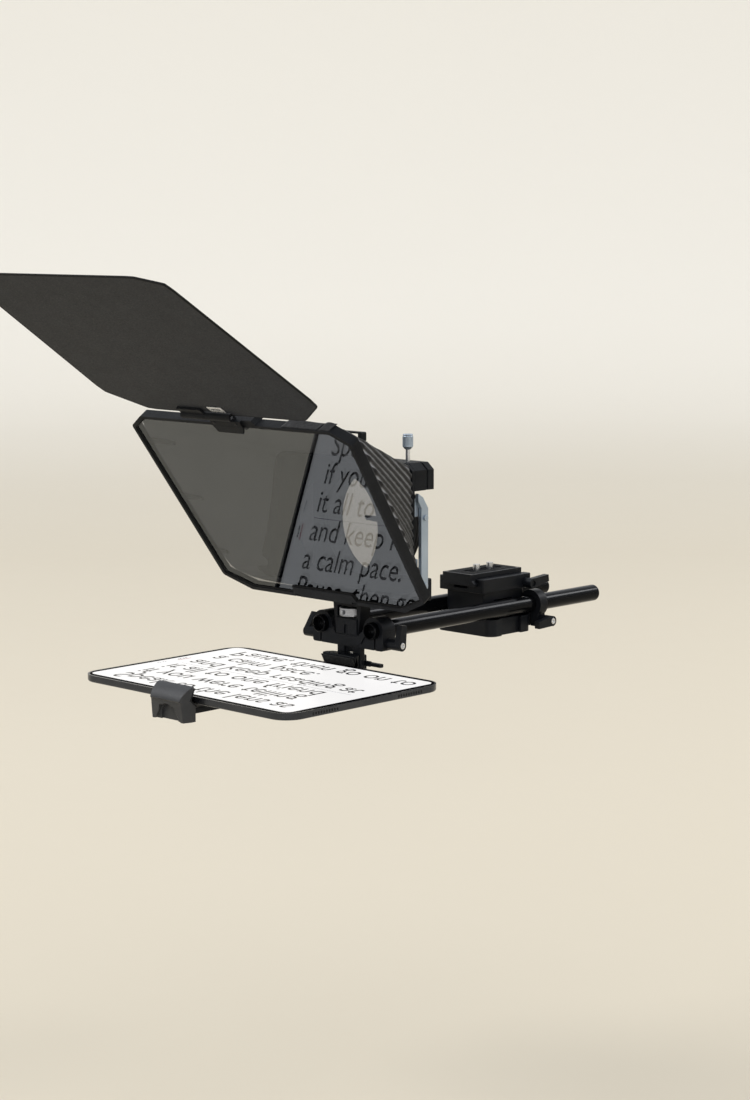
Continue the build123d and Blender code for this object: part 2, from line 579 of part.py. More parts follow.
REAR_REACH, FRONT_REACH = -6.8, 6.0       # lower lip of each V, along Y from its vertex


def v_face(y_vertex, reach, inset):
    """Upper lip, vertex and lower lip of the V that grips the tablet's edge, moved back by inset."""
    y = y_vertex - (inset if reach > 0 else -inset)
    return (y + reach * 0.7, JAW_V_Z + 9.4), (y, JAW_V_Z), (y + reach, JAW_V_Z - abs(reach) * 0.88)


def jaw_pad(y_vertex, reach, half):
    """Rubber V in front of a jaw."""
    top, vertex, low = v_face(y_vertex, reach, 0)
    back_top, back_vertex, back_low = v_face(y_vertex, reach, 1.95)
    return slab(SIDE, [top, vertex, low, back_low, back_vertex, back_top], -half + 0.5, half - 0.5)


ARM_Z0, ARM_Z1 = -48.2, -40.2
ARM_HALF = 13.0
ARM_WALL = 1.6
SLEEVE_Y0 = -104.0
FRONT_V_Y = TABLET_BACK_Y - TABLET_Y - 3.6
FRONT_JAW_HALF = 20.5
FRONT_JAW_BOTTOM = -50.2
FRONT_JAW_DEPTH = 10.6
BROW_Z = -33.0
BROW_TOP = -21.8
JAW_BACK_Y = HEIGHT_PLATE_Y0 - 0.1


def rear_jaw():
    """Block behind the rear V, with its rear corners cut away and a stem through the rail."""
    top, vertex, low = v_face(JAW_V_Y, REAR_REACH, 2.0)
    outline = [top, vertex, low, (low[0], ARM_Z1), (JAW_BACK_Y, ARM_Z1), (JAW_BACK_Y, top[1] - 1.5),
               (JAW_BACK_Y - 2.5, top[1] + 1.6), (top[0] + 0.5, top[1] + 1.6)]
    body = slab(SIDE, outline, -JAW_HALF, JAW_HALF)
    for side in (-1, 1):
        corner = [(side * (JAW_HALF - 6.5), JAW_BACK_Y + 1), (side * (JAW_HALF + 1), JAW_BACK_Y + 1),
                  (side * (JAW_HALF + 1), JAW_BACK_Y - 9)]
        body = body - slab(Plane.XY, corner, ARM_Z1 - 1, BROW_TOP + 3)
    stem = block(-2.8, 2.8, JAW_BACK_Y, HEIGHT_PLATE_Y1 + 0.2, -37, -25)
    return body + stem


def jaw_keeper():
    body = block(-11, 11, HEIGHT_PLATE_Y1 + 0.2, HEIGHT_PLATE_Y1 + 5.4, -38, -24)
    body = fillet(upright_edges(body, Axis.Y), 1.5)
    return body - rod_x(1.55, 2, 12, HEIGHT_PLATE_Y1 + 2.8, -31)


def jaw_lock_lever():
    y = HEIGHT_PLATE_Y1 + 2.8
    hub = rod_x(2.4, 11.2, 18, y, -31)
    grip = block(18, 31, y - 2.3, y + 2.3, -32.6, -29.4)
    return hub + fillet(upright_edges(grip, Axis.X), 1.0) + rod_x(1.5, 4, 11.2, y, -31)


def arm_sleeve():
    """Box channel fixed under the rear jaw; the arm bar telescopes in it."""
    outer = block(-ARM_HALF, ARM_HALF, SLEEVE_Y0, JAW_BACK_Y - 0.5, ARM_Z0, ARM_Z1 - 0.02)
    outer = chamfer(upright_edges(outer, Axis.Y), 1.5)
    inner = block(-ARM_HALF + 3, ARM_HALF - 3, SLEEVE_Y0 - 1, JAW_BACK_Y - 4,
                  ARM_Z0 + ARM_WALL, ARM_Z1 - ARM_WALL)
    return outer - inner


def arm_bar():
    half, wall = ARM_HALF - 3.1, ARM_WALL + 0.1
    bar = block(-half, half, FRONT_V_Y - 2, -30, ARM_Z0 + wall, ARM_Z1 - wall)
    return bar - block(-4, 4, SLEEVE_Y0 + 6, -29, ARM_Z0, ARM_Z0 + 3.4)


def brow(y_front, y_rear, steps=12):
    """Side view of the brow: a full curve from its foot up and back to its top edge."""
    points = []
    for step in range(steps + 1):
        turn = radians(90 * step / steps)
        points.append((y_front + (y_rear - y_front) * (1 - cos(turn) ** 1.4),
                       BROW_Z + (BROW_TOP - BROW_Z) * sin(turn) ** 1.4))
    return points


def front_jaw():
    """Hooded front jaw: a brow that curves forwards and down, over an arched hollow."""
    top, vertex, low = v_face(FRONT_V_Y, FRONT_REACH, 2.0)
    nose = FRONT_V_Y - FRONT_JAW_DEPTH
    profile = [top, vertex, low, (low[0], FRONT_JAW_BOTTOM), (nose + 3.2, FRONT_JAW_BOTTOM),
               (nose + 1.4, BROW_Z - 1.2), *brow(nose, top[0] + 0.4)]
    body = slab(SIDE, profile, -FRONT_JAW_HALF, FRONT_JAW_HALF)
    for side in (-1, 1):
        corner = [(side * (FRONT_JAW_HALF + 1), nose - 1), (side * (FRONT_JAW_HALF - 4), nose - 1),
                  (side * (FRONT_JAW_HALF - 3), nose + 0.5), (side * (FRONT_JAW_HALF + 1), nose + 13)]
        body = body - slab(Plane.XY, corner, FRONT_JAW_BOTTOM - 1, -15)
    tunnel = block(-ARM_HALF + 3, ARM_HALF - 3, FRONT_V_Y - 2.1, FRONT_V_Y + 12,
                   ARM_Z0 + ARM_WALL, ARM_Z1 - ARM_WALL)
    hollow = block(-10, 10, nose - 1, FRONT_V_Y - 2.9, FRONT_JAW_BOTTOM - 1, -46.5)
    hollow = hollow + rod_y(10, 0, nose - 1, FRONT_V_Y - 2.9, -46.5)
    flare = slab(FRONT, mirrored((16, FRONT_JAW_BOTTOM - 1), (10, -43), (8.5, -38)), -nose - 5.5, -nose + 1)
    return body - tunnel - hollow - flare


def return_spring():
    """Coiled ribbon spring in the sleeve that pulls the arm bar home."""
    middle = (ARM_Z0 + ARM_Z1) / 2
    return rod_x(2.2, -3.4, 3.4, -12, middle) - rod_x(1.0, -4, 4, -12, middle)


def build_tablet_holder():
    write("tablet_body", tablet_body())
    write("tablet_glass", tablet_glass())
    write("rear_jaw", rear_jaw())
    write("rear_jaw_pad", jaw_pad(JAW_V_Y, REAR_REACH, JAW_HALF))
    write("jaw_keeper", jaw_keeper())
    write("jaw_lock_lever", jaw_lock_lever())
    write("arm_sleeve", arm_sleeve())
    write("arm_bar", arm_bar())
    write("front_jaw", front_jaw())
    write("front_jaw_pad", jaw_pad(FRONT_V_Y, FRONT_REACH, FRONT_JAW_HALF))
    write("return_spring", return_spring())


os.makedirs("parts", exist_ok=True)
build_base()
build_front_clamp()
build_hood()
build_flag()
build_tablet_holder()
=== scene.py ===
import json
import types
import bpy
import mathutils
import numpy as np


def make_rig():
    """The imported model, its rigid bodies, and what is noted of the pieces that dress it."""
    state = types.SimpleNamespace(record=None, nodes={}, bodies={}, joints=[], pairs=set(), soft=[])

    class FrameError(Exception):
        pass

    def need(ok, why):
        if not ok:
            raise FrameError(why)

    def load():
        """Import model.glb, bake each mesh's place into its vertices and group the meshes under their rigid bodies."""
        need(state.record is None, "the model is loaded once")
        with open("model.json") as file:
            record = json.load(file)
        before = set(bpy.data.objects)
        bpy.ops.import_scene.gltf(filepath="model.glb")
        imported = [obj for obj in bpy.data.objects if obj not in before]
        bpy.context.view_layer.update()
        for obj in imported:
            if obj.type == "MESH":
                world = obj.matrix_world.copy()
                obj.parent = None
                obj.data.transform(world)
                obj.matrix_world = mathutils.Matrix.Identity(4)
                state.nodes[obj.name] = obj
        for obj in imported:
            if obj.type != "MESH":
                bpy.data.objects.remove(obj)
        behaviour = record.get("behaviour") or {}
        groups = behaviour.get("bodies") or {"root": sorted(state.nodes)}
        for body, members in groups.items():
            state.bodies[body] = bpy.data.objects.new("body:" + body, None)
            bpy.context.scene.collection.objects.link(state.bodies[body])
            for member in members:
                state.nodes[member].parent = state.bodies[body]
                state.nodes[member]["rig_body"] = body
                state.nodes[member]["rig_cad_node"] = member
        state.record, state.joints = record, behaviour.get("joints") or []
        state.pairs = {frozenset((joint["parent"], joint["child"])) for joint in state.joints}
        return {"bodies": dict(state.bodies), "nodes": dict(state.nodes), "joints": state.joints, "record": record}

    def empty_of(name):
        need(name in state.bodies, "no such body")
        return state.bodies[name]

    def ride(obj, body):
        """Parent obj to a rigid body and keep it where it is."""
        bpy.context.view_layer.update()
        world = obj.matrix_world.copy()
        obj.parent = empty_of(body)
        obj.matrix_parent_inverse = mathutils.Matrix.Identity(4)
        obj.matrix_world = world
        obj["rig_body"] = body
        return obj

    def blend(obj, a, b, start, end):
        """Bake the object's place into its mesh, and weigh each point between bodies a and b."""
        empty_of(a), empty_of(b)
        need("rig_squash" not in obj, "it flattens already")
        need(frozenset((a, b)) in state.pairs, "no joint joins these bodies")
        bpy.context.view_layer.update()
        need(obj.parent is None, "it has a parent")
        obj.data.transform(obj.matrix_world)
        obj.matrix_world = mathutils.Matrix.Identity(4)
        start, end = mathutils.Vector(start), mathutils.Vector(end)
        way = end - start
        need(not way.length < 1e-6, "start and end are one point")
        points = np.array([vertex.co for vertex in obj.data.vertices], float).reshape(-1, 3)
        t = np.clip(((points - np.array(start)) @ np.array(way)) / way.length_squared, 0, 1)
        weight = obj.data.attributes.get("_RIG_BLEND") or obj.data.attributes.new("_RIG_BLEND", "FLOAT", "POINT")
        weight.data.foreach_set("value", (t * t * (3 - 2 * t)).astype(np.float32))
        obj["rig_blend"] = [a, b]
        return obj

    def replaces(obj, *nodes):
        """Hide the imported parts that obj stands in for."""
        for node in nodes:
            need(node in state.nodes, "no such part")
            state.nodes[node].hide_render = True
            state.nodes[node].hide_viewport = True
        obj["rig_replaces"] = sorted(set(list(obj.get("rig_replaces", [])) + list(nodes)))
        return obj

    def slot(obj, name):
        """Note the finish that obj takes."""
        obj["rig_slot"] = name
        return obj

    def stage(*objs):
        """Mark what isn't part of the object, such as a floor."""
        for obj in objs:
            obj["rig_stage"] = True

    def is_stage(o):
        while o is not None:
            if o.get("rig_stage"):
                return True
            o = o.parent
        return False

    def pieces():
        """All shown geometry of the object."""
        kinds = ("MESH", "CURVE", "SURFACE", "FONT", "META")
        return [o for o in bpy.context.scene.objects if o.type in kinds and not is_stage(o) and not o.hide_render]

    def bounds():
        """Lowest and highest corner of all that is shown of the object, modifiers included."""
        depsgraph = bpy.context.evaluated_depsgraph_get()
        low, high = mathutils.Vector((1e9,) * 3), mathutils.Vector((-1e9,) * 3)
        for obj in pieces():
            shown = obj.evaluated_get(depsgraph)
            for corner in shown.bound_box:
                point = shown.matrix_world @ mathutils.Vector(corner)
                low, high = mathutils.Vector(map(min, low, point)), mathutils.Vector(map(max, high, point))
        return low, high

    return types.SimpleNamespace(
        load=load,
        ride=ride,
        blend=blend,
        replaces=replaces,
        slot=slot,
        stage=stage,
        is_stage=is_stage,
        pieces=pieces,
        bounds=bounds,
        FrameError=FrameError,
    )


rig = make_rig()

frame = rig.load()
cad_low, cad_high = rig.bounds()

import json
from math import atan2, cos, floor, hypot, pi, radians, sin

import bpy
from mathutils import Vector

# Looks for the rod-mounted teleprompter. Lengths are in millimetres in the rod frame, whose
# origin lies midway between the front ends of the two rods; at() turns them into the metres
# of the row frame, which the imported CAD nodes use.

MM = 0.001
ROD_ORIGIN = Vector((0, -178, 24))          # the rod frame's origin, in the row frame
SCENE = bpy.context.scene


def at(x, y, z):
    """Point of the rod frame, in millimetres, as a point of the row frame, in metres."""
    return (Vector((x, y, z)) + ROD_ORIGIN) * MM


class Slope:
    """Sloped plane: x across, s up the slope towards the speaker, w out of the tablet's side."""

    def __init__(self, angle, y, z):
        self.sin, self.cos = sin(radians(angle)), cos(radians(angle))
        self.y, self.z = y, z

    def rod(self, x, s, w=0.0):
        return (x, self.y - s * self.cos - w * self.sin, self.z + s * self.sin - w * self.cos)

    def at(self, x, s, w=0.0):
        return at(*self.rod(x, s, w))


GLASS = Slope(55.24, -21.36, 27.3)
FLAG = Slope(33.47, -133.4, 188.06)
FRAME_DEPTH = 9.0                           # glass frame, front to back
COLLAR_FRONT = 20.7                         # y of the collar's front face
TABLET_TOP = -29.95
TABLET_REAR, TABLET_FRONT = -7.66, -186.16
LENS_Z = 87.0


# ---------------------------------------------------------------- materials

class Surface:
    """A Principled material with short calls for the nodes that give it its detail."""

    def __init__(self, name, **sockets):
        self.material = bpy.data.materials.new(name)
        self.material.use_nodes = True
        self.tree = self.material.node_tree
        self.shader = self.tree.nodes["Principled BSDF"]
        for socket, value in sockets.items():
            value = (*value, 1.0) if isinstance(value, tuple) else value
            self.shader.inputs[socket.replace("_", " ")].default_value = value

    def node(self, kind, inputs=None, **settings):
        node = self.tree.nodes.new(kind)
        for key, value in settings.items():
            setattr(node, key, value)
        for key, value in (inputs or {}).items():
            if isinstance(value, bpy.types.NodeSocket):
                self.tree.links.new(value, node.inputs[key])
            else:
                node.inputs[key].default_value = value
        return node

    def place(self, stretch=(1, 1, 1), attribute=None):
        """Coordinates fixed to the piece: its own place, or a stored attribute."""
        if attribute:
            source = self.node("ShaderNodeAttribute", attribute_name=attribute).outputs["Vector"]
        else:
            source = self.node("ShaderNodeTexCoord").outputs["Object"]
        return self.node("ShaderNodeMapping", {"Vector": source, "Scale": stretch}).outputs[0]

    def noise(self, scale, detail=3.0, stretch=(1, 1, 1), attribute=None):
        where = self.place(stretch, attribute)
        inputs = {"Vector": where, "Scale": scale, "Detail": detail}
        return self.node("ShaderNodeTexNoise", inputs).outputs[0]

    def waves(self, scale, direction, stretch=(1, 1, 1), attribute=None, distortion=0.0):
        where = self.place(stretch, attribute)
        inputs = {"Vector": where, "Scale": scale, "Distortion": distortion}
        return self.node("ShaderNodeTexWave", inputs, bands_direction=direction).outputs["Fac"]

    def cells(self, scale, attribute=None):
        where = self.place((1, 1, 1), attribute)
        return self.node("ShaderNodeTexVoronoi", {"Vector": where, "Scale": scale}).outputs["Distance"]

    def math(self, operation, first, second):
        return self.node("ShaderNodeMath", {0: first, 1: second}, operation=operation).outputs[0]

    def spread(self, value, low, high, to_low, to_high):
        inputs = {"Value": value, "From Min": low, "From Max": high, "To Min": to_low, "To Max": to_high}
        return self.node("ShaderNodeMapRange", inputs).outputs[0]

    def colour(self, value, *stops):
        """Colour by a ramp of (position, colour) stops."""
        node = self.node("ShaderNodeValToRGB", {"Fac": value})
        ramp = node.color_ramp
        while len(ramp.elements) < len(stops):
            ramp.elements.new(0.5)
        for element, (position, tint) in zip(ramp.elements, stops):
            element.position = position
            element.color = (*tint, 1.0)
        self.tree.links.new(node.outputs[0], self.shader.inputs["Base Color"])

    def roughness(self, value):
        self.tree.links.new(value, self.shader.inputs["Roughness"])

    def relief(self, *layers):
        """Bump from (height, depth in millimetres) layers, each on top of the last."""
        below = None
        for height, depth in layers:
            inputs = {"Height": height, "Distance": depth * MM, "Strength": 1.0}
            if below is not None:
                inputs["Normal"] = below
            below = self.node("ShaderNodeBump", inputs).outputs[0]
        self.tree.links.new(below, self.shader.inputs["Normal"])


def anodised(name, dark, light, rough, metal, grain=0.012, streak=(1, 1, 1), gloss=0.3):
    """Bead-blasted anodised aluminium: fine grain, soft handling marks and a little colour drift."""
    surface = Surface(name, Metallic=metal, Specular_IOR_Level=gloss)
    smudge = surface.noise(35, 4, streak)
    surface.colour(smudge, (0.3, dark), (0.7, light))
    surface.roughness(surface.spread(surface.noise(90, 5, streak), 0.3, 0.7, rough - 0.06, rough + 0.08))
    surface.relief((surface.noise(4200, 2), grain), (surface.noise(150, 3, streak), grain))
    return surface.material


def moulded(name, dark, light, rough, grain=0.03, gloss=0.22):
    """Moulded plastic with a spark-eroded texture."""
    surface = Surface(name, Specular_IOR_Level=gloss)
    surface.colour(surface.noise(60, 4), (0.3, dark), (0.7, light))
    surface.roughness(surface.spread(surface.noise(700, 3), 0.3, 0.7, rough - 0.07, rough + 0.07))
    surface.relief((surface.noise(2600, 3), grain), (surface.cells(1700), grain * 0.5))
    return surface.material


def bright_steel(name, rough, tint=(0.62, 0.63, 0.65)):
    surface = Surface(name, Metallic=1.0)
    scratches = surface.noise(900, 4, (1, 1, 6))
    surface.colour(surface.noise(120, 3), (0.3, tuple(v * 0.86 for v in tint)), (0.7, tint))
    surface.roughness(surface.spread(scratches, 0.3, 0.7, rough - 0.05, rough + 0.1))
    surface.relief((scratches, 0.004))
    return surface.material


def rubber(name, tone=0.012):
    surface = Surface(name, Specular_IOR_Level=0.2)
    surface.colour(surface.noise(220, 4), (0.3, (tone * 0.75,) * 3), (0.75, (tone * 1.5,) * 3))
    surface.roughness(surface.spread(surface.noise(900, 3), 0.3, 0.7, 0.62, 0.8))
    surface.relief((surface.noise(3000, 4), 0.02))
    return surface.material


def pleated_cloth():
    """Coated pleat cloth: a painted highlight along the ridges and painted shade in the valleys, with a fine weave."""
    surface = Surface("pleated_cloth", Sheen_Weight=0.06, Sheen_Roughness=0.45, Specular_IOR_Level=0.2)
    ridge = surface.node("ShaderNodeAttribute", attribute_name="ridge").outputs["Fac"]
    uneven = surface.spread(surface.noise(160, 4, attribute="rest"), 0.3, 0.7, -0.16, 0.12)
    # The ridge attribute carries painted light: pale ridges as a highlight, dark valleys as shade.
    tone = surface.math("ADD", ridge, uneven)
    surface.colour(tone, (0.10, (0.003, 0.003, 0.0036)), (0.50, (0.011, 0.011, 0.012)),
                   (0.92, (0.20, 0.205, 0.22)))
    surface.roughness(surface.spread(surface.noise(500, 3, attribute="rest"), 0.3, 0.7, 0.55, 0.75))
    warp = surface.waves(640, "Y", attribute="rest", distortion=0.4)
    weft = surface.waves(640, "Z", attribute="rest", distortion=0.4)
    surface.relief((surface.math("MULTIPLY", warp, weft), 0.05),
                   (surface.noise(260, 4, attribute="rest"), 0.12))
    return surface.material


def lining_cloth():
    """Dull grey lining of the hood, with soft unevenness."""
    surface = Surface("hood_lining", Specular_IOR_Level=0.05)
    surface.colour(surface.noise(9, 3, attribute="rest"), (0.3, (0.22, 0.22, 0.228)),
                   (0.7, (0.29, 0.29, 0.30)))
    surface.roughness(surface.spread(surface.noise(60, 3, attribute="rest"), 0.3, 0.7, 0.75, 0.9))
    surface.relief((surface.noise(40, 3, attribute="rest"), 0.3))
    return surface.material


def beam_splitter():
    """Half-silvered glass: part mirror, part smoked see-through."""
    surface = Surface("beam_splitter")
    tree = surface.tree
    tree.nodes.remove(surface.shader)
    through = surface.node("ShaderNodeBsdfTransparent", {"Color": (0.56, 0.56, 0.565, 1)})
    mirror = surface.node("ShaderNodeBsdfGlossy", {"Color": (0.90, 0.95, 1.0, 1), "Roughness": 0.0})
    share = surface.spread(surface.noise(14, 3), 0.35, 0.7, 0.099, 0.105)
    mix = surface.node("ShaderNodeMixShader", {0: share, 1: through.outputs[0], 2: mirror.outputs[0]})
    tree.links.new(mix.outputs[0], tree.nodes["Material Output"].inputs["Surface"])
    return surface.material


def screen_glass():
    """Coated glass over the unlit rim of the screen."""
    surface = Surface("screen_glass", Specular_IOR_Level=0.0005)
    surface.colour(surface.noise(18, 4), (0.3, (0.003, 0.003, 0.0035)), (0.7, (0.006, 0.006, 0.007)))
    surface.roughness(surface.spread(surface.noise(18, 4), 0.35, 0.7, 0.10, 0.2))
    return surface.material


def lit_screen(name, tint, strength):
    """Lit part of the display, under coated glass."""
    surface = Surface(name, Emission_Strength=strength, Specular_IOR_Level=0.02)
    glow = surface.noise(6, 2)
    shade = surface.node("ShaderNodeValToRGB", {"Fac": glow})
    shade.color_ramp.elements[0].color = (*(v * 0.96 for v in tint), 1)
    shade.color_ramp.elements[1].color = (*tint, 1)
    surface.tree.links.new(shade.outputs[0], surface.shader.inputs["Emission Color"])
    surface.colour(glow, (0.3, tuple(v * 0.03 for v in tint)), (0.7, tuple(v * 0.04 for v in tint)))
    surface.roughness(surface.spread(surface.noise(18, 4), 0.35, 0.7, 0.15, 0.25))
    return surface.material


LOOKS = {
    "black_anodised": anodised("black_anodised", (0.0046, 0.0053, 0.0070), (0.0088, 0.0100, 0.0125),
                               0.40, 0.2, gloss=0.13),
    "rod_anodised": anodised("rod_anodised", (0.0022, 0.0024, 0.0030), (0.0042, 0.0046, 0.0056),
                             0.15, 0.3, grain=0.003, streak=(3, 0.25, 3), gloss=0.07),
    "grey_anodised": anodised("grey_anodised", (0.30, 0.355, 0.42), (0.38, 0.44, 0.51),
                              0.36, 0.7, gloss=0.5),
    "steel": bright_steel("steel", 0.24),
    "knurled_steel": bright_steel("knurled_steel", 0.3, (0.47, 0.475, 0.49)),
    "hood_plastic": moulded("hood_plastic", (0.0056, 0.0062, 0.0074), (0.0100, 0.0110, 0.0126),
                            0.5, gloss=0.08),
    "jaw_plastic": moulded("jaw_plastic", (0.026, 0.027, 0.0295), (0.036, 0.0375, 0.041),
                           0.42, gloss=0.3),
    "flag_plastic": moulded("flag_plastic", (0.0135, 0.0148, 0.0178), (0.0178, 0.0194, 0.0230),
                            0.6, 0.02, gloss=0.14),
    "pleated_cloth": pleated_cloth(),
    "beam_splitter": beam_splitter(),
    "rubber": rubber("rubber"),
    "tablet_metal": anodised("tablet_metal", (0.050, 0.054, 0.063), (0.066, 0.070, 0.080),
                             0.2, 0.95, grain=0.004, gloss=0.05),
    "tablet_screen": screen_glass(),
}
LINING = lining_cloth()
# Black rubber for the flag's edging, also used as painted shade in the gap round the glass and in the tablet's speaker
# holes.
BLACK_EDGING_AND_SHADE = rubber("black_edging_and_shade", 0.005)
PAPER_WHITE = lit_screen("display_white", (0.925, 0.915, 0.91), 1.0)
INK = lit_screen("display_ink", (0.02, 0.02, 0.022), 0.3)
MARK_RED = lit_screen("display_red", (0.70, 0.07, 0.10), 0.5)
MARK_GREY = lit_screen("display_grey", (0.30, 0.33, 0.40), 0.6)


# ---------------------------------------------------------------- mesh helpers

def new_piece(name, points, faces, material, smooth=True):
    mesh = bpy.data.meshes.new(name)
    mesh.from_pydata([tuple(p) for p in points], [], faces)
    mesh.validate()
    mesh.materials.append(material)
    for polygon in mesh.polygons:
        polygon.use_smooth = smooth
    mesh.update()
    obj = bpy.data.objects.new(name, mesh)
    SCENE.collection.objects.link(obj)
    return obj


def attach(obj, body, slot, *replaced):
    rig.ride(obj, body)
    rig.slot(obj, slot)
    if replaced:
        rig.replaces(obj, *replaced)
    return obj


def bevelled(obj, width, segments=2, angle=32):
    """Round the hard edges of a piece."""
    bevel = obj.modifiers.new("edges", "BEVEL")
    bevel.width = width * MM
    bevel.segments = segments
    bevel.limit_method = "ANGLE"
    bevel.angle_limit = radians(angle)
    bevel.harden_normals = True
    return obj


class Shape:
    """Points and faces collected for one mesh."""

    def __init__(self):
        self.points, self.faces = [], []

    def add(self, points, faces):
        start = len(self.points)
        self.points += [Vector(p) for p in points]
        self.faces += [tuple(start + i for i in face) for face in faces]

    def prism(self, low, high):
        """Solid between two outlines of as many points."""
        n = len(low)
        sides = [(i, (i + 1) % n, n + (i + 1) % n, n + i) for i in range(n)]
        self.add([*low, *high], [tuple(reversed(range(n))), tuple(range(n, 2 * n)), *sides])

    def tube(self, path, radius, sides=8, closed=False):
        """Round tube along a path of points, in metres."""
        count = len(path)
        rings = []
        side = None
        for i, point in enumerate(path):
            before = path[i - 1] if closed or i else point
            after = path[(i + 1) % count] if closed or i < count - 1 else point
            along = (after - before).normalized()
            guess = side if side is not None else along.orthogonal()
            side = (guess - along * guess.dot(along)).normalized()
            up = along.cross(side)
            rings.append([point + (side * cos(2 * pi * k / sides) + up * sin(2 * pi * k / sides)) * radius
                          for k in range(sides)])
        last = count if closed else count - 1
        faces = []
        for i in range(last):
            j = (i + 1) % count
            for k in range(sides):
                m = (k + 1) % sides
                faces.append((i * sides + k, i * sides + m, j * sides + m, j * sides + k))
        if not closed:
            faces += [tuple(reversed(range(sides))), tuple(range((count - 1) * sides, count * sides))]
        self.add([p for ring in rings for p in ring], faces)

    def grid(self, rows, columns, point, wrap=False):
        """Sheet of rows by columns quads, from point(row, column)."""
        across = columns if wrap else columns + 1
        points = [point(i, j) for i in range(rows + 1) for j in range(across)]
        faces = []
        for i in range(rows):
            for j in range(columns):
                k = (j + 1) % across
                faces.append((i * across + j, i * across + k, (i + 1) * across + k, (i + 1) * across + j))
        self.add(points, faces)

    def piece(self, name, material, smooth=True):
        return new_piece(name, self.points, self.faces, material, smooth)


def turned(name, profile, place, material, around=96, radius=None):
    """Round piece from (radius, height) pairs; place(r, a, h) puts each point; radius may shape it."""
    shape = Shape()
    profile = list(profile)

    def point(i, j):
        r, h = profile[i]
        a = 2 * pi * j / around
        return place(radius(r, a, h) if radius else r, a, h)

    shape.grid(len(profile) - 1, around, point, wrap=True)
    rows = len(profile) * around
    shape.faces.append(tuple(range(around)))
    shape.faces.append(tuple(reversed(range(rows - around, rows))))
    return shape.piece(name, material)


def upright(x, y):
    """Placing of a turned piece on a vertical axis."""
    return lambda r, a, h: at(x + r * cos(a), y + r * sin(a), h)


def lengthwise(x, z):
    """Placing of a turned piece on an axis along the rods."""
    return lambda r, a, h: at(x + r * cos(a), h, z + r * sin(a))


def steps(low, high, count):
    return [low + (high - low) * i / count for i in range(count + 1)]


def smoothstep(low, high, value):
    t = min(1.0, max(0.0, (value - low) / (high - low)))
    return t * t * (3 - 2 * t)


def mirrored(*half):
    """Closed outline, symmetric about x = 0, from its right half, bottom to top."""
    return list(half) + [(-x, s) for x, s in reversed(half)]


def rounded(outline, rounds=2, share=0.22):
    """Closed outline with its corners cut back, twice over, into arcs."""
    for _ in range(rounds):
        cut = []
        for i, (x0, s0) in enumerate(outline):
            x1, s1 = outline[(i + 1) % len(outline)]
            cut.append((x0 + (x1 - x0) * share, s0 + (s1 - s0) * share))
            cut.append((x1 - (x1 - x0) * share, s1 - (s1 - s0) * share))
        outline = cut
    return outline


# ---------------------------------------------------------------- CAD nodes

EDGE_WIDTHS = {"black_anodised": 0.45, "rod_anodised": 0.25, "grey_anodised": 0.6, "steel": 0.2,
               "knurled_steel": 0.2, "hood_plastic": 0.4, "flag_plastic": 0.5, "rubber": 0.3,
               "tablet_metal": 0.25}
NODE_EDGE_WIDTHS = {"front_jaw": 1.3, "rear_jaw": 0.8, "collar_foot": 0.9, "front_clamp_body": 0.7}
NODE_LOOKS = {"front_jaw": "jaw_plastic", "flag_clip_screws": "black_anodised",
              "bracket_screws": "grey_anodised"}


def soften(node, width):
    """Round the hard edges of a CAD node with modifiers; its own mesh stays as packed."""
    custom = node.data.attributes.get("custom_normal")
    if custom:
        node.data.attributes.remove(custom)
    for polygon in node.data.polygons:
        polygon.use_smooth = True
    node.modifiers.new("weld", "WELD").merge_threshold = 0.002 * MM
    flat = node.modifiers.new("flat_faces", "DECIMATE")
    flat.decimate_type = "DISSOLVE"
    flat.angle_limit = radians(0.6)
    bevelled(node, width)
    normals = node.modifiers.new("normals", "WEIGHTED_NORMAL")
    normals.keep_sharp = True


def dress_nodes():
    for part in frame["record"]["subparts"]:
        node, slot = frame["nodes"][part["node"]], part["material_slot"]
        node.data.materials.clear()
        node.data.materials.append(LOOKS[NODE_LOOKS.get(part["node"], slot)])
        if slot in EDGE_WIDTHS:
            soften(node, NODE_EDGE_WIDTHS.get(part["node"], EDGE_WIDTHS[slot]))


# ---------------------------------------------------------------- pleated hood

PLEAT_PITCH = 7.1                           # along the tilted plane coordinate
PLEAT_TILT = 0.481                          # fall of the pleat planes towards the rear
PLEAT_PHASE = 101.3
PLEAT_DEPTH = 2.3
PLEAT_SAMPLES = 0.75                        # millimetres between samples round the hood
HOOD_STEPS = 110
LINING_INSET = 3.4                          # of the lining, inside the outer cloth
LINING_RIM_W = -6.4                         # front rim of the lining, inside the glass frame
BARE_TONE, ROOF_TONE = 0.2, 0.16            # tone at the rims, and what the roof adds to it
FLOOR_LAG, ROOF_LAG = 2.0, 0.9              # how the floor and the roof follow the fold
LAG_LOW, LAG_HIGH = 30, 80                  # heights between which one turns into the other
BAFFLE_Y, BAFFLE_RIM, BAFFLE_HOLE = -6.0, 5.0, 46


def resampled(outline_a, outline_b, spacing):
    """Matching points round two outlines of as many corners, evenly spaced along each side."""
    a_points, b_points = [], []
    count = len(outline_a)
    for i in range(count):
        (ax0, as0), (ax1, as1) = outline_a[i], outline_a[(i + 1) % count]
        (bx0, bs0), (bx1, bs1) = outline_b[i], outline_b[(i + 1) % count]
        along = abs(as1 - as0)
        across = abs(ax1 - ax0)
        parts = max(2, round(along / spacing), round(across / (spacing * 8)))
        for k in range(parts):
            t = k / parts
            a_points.append((ax0 + (ax1 - ax0) * t, as0 + (as1 - as0) * t))
            b_points.append((bx0 + (bx1 - bx0) * t, bs0 + (bs1 - bs0) * t))
    return a_points, b_points


